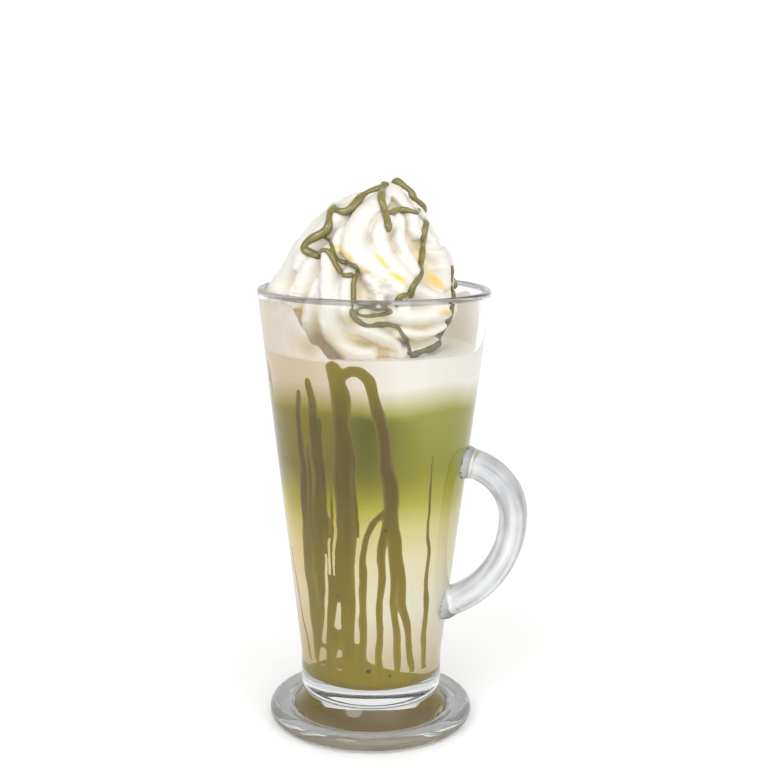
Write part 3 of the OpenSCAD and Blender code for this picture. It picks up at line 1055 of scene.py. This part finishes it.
def make_cream():
    n_a, n_u = 336, 250
    t = np.arange(n_u) / n_u
    u = 1 - (1 - t) ** 1.2
    a = np.arange(n_a) * 2 * math.pi / n_a
    A, U = np.meshgrid(a, u)
    r0 = cream_outline(A, U)
    z = FOAM_TOP + CREAM_H * U
    cx = cream_centre(U)
    flat = np.stack([cx + r0 * np.cos(A), r0 * np.sin(A), z], -1).reshape(-1, 3)
    bump = np.zeros(len(flat))
    for line, width, height in ridge_lines():
        width, height = width * RIDGE_WIDTH, height * RIDGE_HEIGHT
        lo, hi = line.min(0) - width, line.max(0) + width
        near = np.nonzero(((flat > lo) & (flat < hi)).all(1))[0]
        if not len(near):
            continue
        p = flat[near]
        best = np.full(len(near), 1e9)
        for q0, q1 in zip(line[:-1], line[1:]):
            d = q1 - q0
            s = np.clip(((p - q0) @ d) / max(d @ d, 1e-9), 0, 1)
            best = np.minimum(best, np.linalg.norm(p - q0 - s[:, None] * d, axis=1))
        value = height * np.sqrt(np.clip(1 - (best / width) ** 2, 0, None))
        bump[near] = np.maximum(bump[near], value)
    bump = bump.reshape(A.shape)
    for _ in range(3):
        bump = (bump * 2 + np.roll(bump, 1, 1) + np.roll(bump, -1, 1)) / 4
        bump[1:-1] = (bump[1:-1] * 2 + bump[2:] + bump[:-2]) / 4
    lumps = np.array([noise.fractal(Vector(p * 0.16), 0.9, 2.1, 3) for p in flat])
    fine = np.array([noise.fractal(Vector(p * 0.6 + 40), 0.8, 2.1, 2) for p in flat])
    lumps, fine = lumps.reshape(A.shape), fine.reshape(A.shape)
    fade = step3((1 - U) / 0.12)
    shrink = np.minimum(1, r0 / 11)
    seen = (cx + r0 * np.cos(A)) * math.cos(TURN) + r0 * np.sin(A) * math.sin(TURN)
    rough = 0.16 + 1.1 * patch(seen, z, ROUGH) * (r0 * np.sin(A) < 0)
    r = r0 + shrink * fade * (bump - RIDGE_ROOT + 0.45 * lumps + rough * fine)
    r = np.maximum(r, 0.3)
    x, y = cx + r * np.cos(A), r * np.sin(A)
    # cream that meets the glass lies flat on it
    limit = inner_r(np.minimum(z, HEIGHT - 3)) + 0.06
    size = np.hypot(x, y)
    inside = z < HEIGHT - 1.5
    over = np.where(inside, size - limit, -9)
    scale = np.where(over > 0, limit / size, 1.0)
    x, y = x * scale, y * scale
    wet = step3((over + 0.6) / 0.8)
    z = np.where(U <= 0, CREAM_FOOT, z)
    side = x * math.cos(TURN) + y * math.sin(TURN)
    front = (-x * math.sin(TURN) + y * math.cos(TURN)) < 4
    yellow_patch = np.maximum(patch(side, z, YELLOW_PATCHES) * front, patch(-side, z, YELLOW_PATCHES) * ~front)
    greenish_patch = patch(side, z, GREENISH_PATCHES) * front
    # how deep each point lies in a crease, for the painted shade there
    crease = np.clip(1 - bump / 4.2, 0, 1) * fade
    verts = np.stack([x, y, z], -1).reshape(-1, 3)
    count = len(verts)
    verts = np.vstack([verts, [[-CREAM_SHIFT, 0, CREAM_FOOT]],
                       [[CREAM_LEAN - CREAM_SHIFT, 0, CREAM_TOP]]])
    faces = ring_faces(n_u, n_a)
    last = (n_u - 1) * n_a
    for k in range(n_a):
        n = (k + 1) % n_a
        faces.append((count, n, k))
        faces.append((count + 1, last + k, last + n))
    mesh = plain_mesh("piped_cream", verts, faces)
    fields = {"crease": crease, "yellow_patch": yellow_patch, "wet": wet, "greenish_patch": greenish_patch * 0.6}
    add_fields(mesh, **{name: np.append(field, (0, 0)) for name, field in fields.items()})
    add_object("piped_cream", mesh, cream_paint(), ["whipped_cream"])
    return BVHTree.FromPolygons([Vector(v) for v in verts], faces)


cream_tree = make_cream()

# ---------------------------------------------------------------- drizzle on the cream
# Each thread: its points (sideways, height), and its half width at each end
THREADS = (
    (((5.5, 189.6), (8, 189), (10, 187.5), (12, 186), (13, 183.5)), 2.2, 1.3),
    (((4, 189), (2, 187.5), (-3, 186), (-6, 183), (-9, 180), (-12, 180), (-14, 181)), 1.3, 1.9),
    (((-14, 181), (-15, 178), (-15, 175), (-17, 173), (-21, 171), (-24, 168), (-21, 166.5),
      (-18, 165)), 1.7, 1.6),
    (((-18, 165), (-17, 168), (-15, 168), (-13, 164), (-12, 162), (-9, 160), (-7, 161)), 1.2, 1.0),
    (((-17, 172), (-14, 170), (-13, 166), (-10, 164), (-6, 164), (-5, 162), (-7, 159), (-7, 155),
      (-7, 150.5)), 0.7, 1.2),
    (((3, 189), (2, 185), (2, 183), (4, 179.5), (10, 181), (13, 179.5), (15, 180.5)), 1.6, 1.1),
    (((3, 180), (4, 177), (4, 174)), 1.0, 1.9),
    (((17, 177), (16, 173), (16, 168), (15, 164), (15, 160), (12, 157), (12, 153), (9, 155),
      (7.5, 153), (7, 150.5)), 1.3, 1.1),
    (((26, 162), (26, 158), (26, 154), (27, 150), (26, 147.5)), 0.8, 1.0),
    (((-6, 149), (-5, 150.2), (1, 150.4), (6.5, 149.2), (1, 148), (-4, 147.6), (-6, 149)), 0.7, 0.7),
    (((-7, 150), (-7, 148), (-3, 145), (1, 144.6), (6, 145), (10, 141), (11, 137), (11, 134.5)),
     1.2, 0.9),
    (((26, 148), (25.5, 143), (23, 138), (19, 135.5), (15, 135), (11.5, 134)), 1.2, 1.4),
)
# The far side is dressed alike, as (angle, height)
FAR_THREADS = (
    (((60, 186), (95, 180), (120, 173), (118, 166), (140, 160), (148, 153)), 1.5, 1.0),
    (((250, 184), (232, 177), (236, 170), (215, 165), (205, 158), (209, 153)), 1.6, 1.0),
    (((170, 187), (182, 180), (172, 173), (184, 168), (178, 162)), 1.2, 1.6),
    (((95, 165), (100, 158), (97, 153)), 0.9, 1.3),
)


def on_cream(sideways, height):
    """Where a ray from the camera's side meets the cream, or the nearest point beside it."""
    start = SIDE * sideways - AWAY * 120 + Vector((0, 0, height))
    hit = cream_tree.ray_cast(start, AWAY)
    if hit[0] is None:
        hit = cream_tree.find_nearest(SIDE * sideways - AWAY * 2 + Vector((0, 0, height)))
    return hit[0], hit[1]


def round_cream(angle, height):
    """Where a ray towards the cream's axis meets the cream."""
    a = float(to_azimuth(angle))
    centre = Vector((float(cream_centre((height - FOAM_TOP) / CREAM_H)), 0, height))
    out = Vector((math.cos(a), math.sin(a), 0))
    hit = cream_tree.ray_cast(centre + out * 90, -out)
    return hit[0], hit[1]


THREAD_WIDTH, THREAD_STEP, THREAD_VOXEL = 0.88, 0.55, 0.34


def thread(points, w0, w1, place, verts, faces):
    """Add a tube along the points to verts and faces; place puts a point on the cream."""
    line = smooth_line(points, 10)
    where, normals = [], []
    for a, h in line:
        p, n = place(a, h)
        where.append(np.array(p))
        normals.append(np.array(n))
    where, normals = np.array(where), np.array(normals)
    # even steps, then a thread bridges narrow creases instead of diving into them
    length = np.append(0, np.cumsum(np.linalg.norm(np.diff(where, axis=0), axis=1)))
    count = max(8, int(length[-1] / THREAD_STEP))
    even = np.linspace(0, length[-1], count)
    where = np.stack([np.interp(even, length, where[:, d]) for d in range(3)], -1)
    normals = np.stack([np.interp(even, length, normals[:, d]) for d in range(3)], -1)
    for _ in range(10):
        normals[1:-1] = (normals[2:] + normals[:-2] + normals[1:-1]) / 3
    normals /= np.linalg.norm(normals, axis=1)[:, None]
    skin = where.copy()
    for _ in range(14):
        middle = (where[2:] + where[:-2] + where[1:-1] * 2) / 4
        where[1:-1] = middle
        sunk = ((skin - where) * normals).sum(1)
        where += normals * np.maximum(sunk, 0)[:, None] * 0.9
    phase = RNG.uniform(0, 9)
    around = 14
    start = len(verts)
    for i, p in enumerate(where):
        share = i / (count - 1)
        knots = 0.16 * math.sin(even[i] * 0.42 + phase) + 0.07 * math.sin(even[i] * 0.9 + 2 * phase)
        width = THREAD_WIDTH * mix(w0, w1, share) * (1 + knots)
        end = min(even[i], even[-1] - even[i])
        width *= math.sqrt(min(1.0, (end + 0.25) / (width * 1.1)))
        ahead = where[min(i + 1, count - 1)] - where[max(i - 1, 0)]
        ahead /= max(np.linalg.norm(ahead), 1e-9)
        up = normals[i] - ahead * (normals[i] @ ahead)
        up /= max(np.linalg.norm(up), 1e-9)
        across = np.cross(ahead, up)
        middle = p + up * width * 0.30
        for k in range(around):
            b = 2 * math.pi * k / around
            verts.append(middle + across * width * math.cos(b) + up * width * 0.82 * math.sin(b))
    faces += ring_faces(count, around, start)
    for i in (0, count - 1):
        faces.append([start + i * around + k for k in range(around)])


def make_drizzle():
    verts, faces = [], []
    for points, w0, w1 in THREADS:
        thread(points, w0, w1, on_cream, verts, faces)
    for points, w0, w1 in FAR_THREADS:
        thread(points, w0, w1, round_cream, verts, faces)
    mesh = make_mesh("threads", verts, faces, merge=False)
    mesh = evaluated("drizzle", bpy.data.objects.new("threads", mesh),
                     ("REMESH", {"mode": "VOXEL", "voxel_size": THREAD_VOXEL * MM}),
                     ("SMOOTH", {"factor": 0.5, "iterations": 4}))
    add_object("drizzle", mesh, drizzle_paint())


make_drizzle()

# ---------------------------------------------------------------- floor, light and camera
FLOOR_SIZE, FLOOR_CELLS = 3.0, 12       # half the side of the floor in metres, and cells along it
UP = Vector((0, 0, 1))
ROOM_LIGHT = 1.0
# A bright room by direction: (direction, where the patch begins and is full, light that it adds)
PATCHES = (
    (AWAY, 0.70, 0.90, 0.08),
    (UP, 0.45, 0.85, -0.25),
    (-AWAY, 0.20, 0.80, 1.00),
    (SIDE - AWAY, 0.30, 0.90, 0.75),
    (-SIDE * 0.45 - AWAY * 0.75 + UP * 0.6, 0.97, 0.985, 4.0),
    (SIDE, 0.55, 0.95, -0.22),
    (-SIDE, 0.55, 0.95, -0.22),
)
PITCH, YAW, ROLL = math.radians(10.377), math.radians(-0.447), math.radians(0.599)
CAMERA_DISTANCE, CAMERA_RISE = 464.2, 51.32     # from the axis, and above the lip
SENSOR, LENS = 36.0, 63.981


def make_floor():
    grid = np.linspace(-FLOOR_SIZE, FLOOR_SIZE, FLOOR_CELLS + 1)
    row = FLOOR_CELLS + 1
    mesh = bpy.data.meshes.new("floor")
    mesh.from_pydata([(x, y, 0.0) for y in grid for x in grid], [],
                     [(j * row + i, j * row + i + 1, (j + 1) * row + i + 1, (j + 1) * row + i)
                      for j in range(FLOOR_CELLS) for i in range(FLOOR_CELLS)])
    paint = Paint("floor", Roughness=0.6)
    paint.to("Base Color", paint.blend(paint.noise(3.0), (0.94, 0.94, 0.94, 1), (0.96, 0.96, 0.96, 1)))
    mesh.materials.append(paint.mat)
    obj = bpy.data.objects.new("floor", mesh)
    bpy.context.scene.collection.objects.link(obj)


def make_room():
    world = bpy.data.worlds.new("studio")
    world.use_nodes = True
    bpy.context.scene.world = world
    tree = world.node_tree
    where = tree.nodes.new("ShaderNodeTexCoord").outputs["Generated"]
    total = None
    for direction, begins, full, adds in PATCHES:
        dot = tree.nodes.new("ShaderNodeVectorMath")
        dot.operation = "DOT_PRODUCT"
        tree.links.new(where, dot.inputs[0])
        dot.inputs[1].default_value = direction.normalized()
        light = tree.nodes.new("ShaderNodeMapRange")
        light.interpolation_type = "SMOOTHSTEP"
        tree.links.new(dot.outputs["Value"], light.inputs[0])
        for i, v in enumerate((begins, full, 0.0, adds)):
            light.inputs[i + 1].default_value = v
        add = tree.nodes.new("ShaderNodeMath")
        tree.links.new(light.outputs[0], add.inputs[0])
        if total is None:
            add.inputs[1].default_value = ROOM_LIGHT
        else:
            tree.links.new(total, add.inputs[1])
        total = add.outputs[0]
    tree.nodes["Background"].inputs["Color"].default_value = WHITE
    tree.links.new(total, tree.nodes["Background"].inputs["Strength"])


def make_camera():
    """Camera that sees the glass as the photo does, then turned with the view."""
    ahead = Vector((-math.sin(YAW) * math.cos(PITCH), math.cos(YAW) * math.cos(PITCH),
                    -math.sin(PITCH)))
    level = Vector((math.cos(YAW), math.sin(YAW), 0))
    upright = level.cross(ahead)
    right = level * math.cos(ROLL) + upright * math.sin(ROLL)
    up = upright * math.cos(ROLL) - level * math.sin(ROLL)
    stand = Matrix((right, up, -ahead)).transposed().to_4x4()
    stand.translation = Vector((0, -CAMERA_DISTANCE, HEIGHT + CAMERA_RISE)) * MM
    data = bpy.data.cameras.new("camera")
    data.sensor_width = SENSOR
    data.lens = LENS
    data.clip_start = 0.01
    camera = bpy.data.objects.new("camera", data)
    camera.matrix_world = Matrix.Rotation(TURN, 4, "Z") @ stand
    bpy.context.scene.collection.objects.link(camera)
    bpy.context.scene.camera = camera


make_floor()
make_room()
make_camera()
# light goes back and forth between the drink and its glass
bpy.context.scene.cycles.diffuse_bounces = 8
bpy.context.scene.view_settings.view_transform = "Standard"
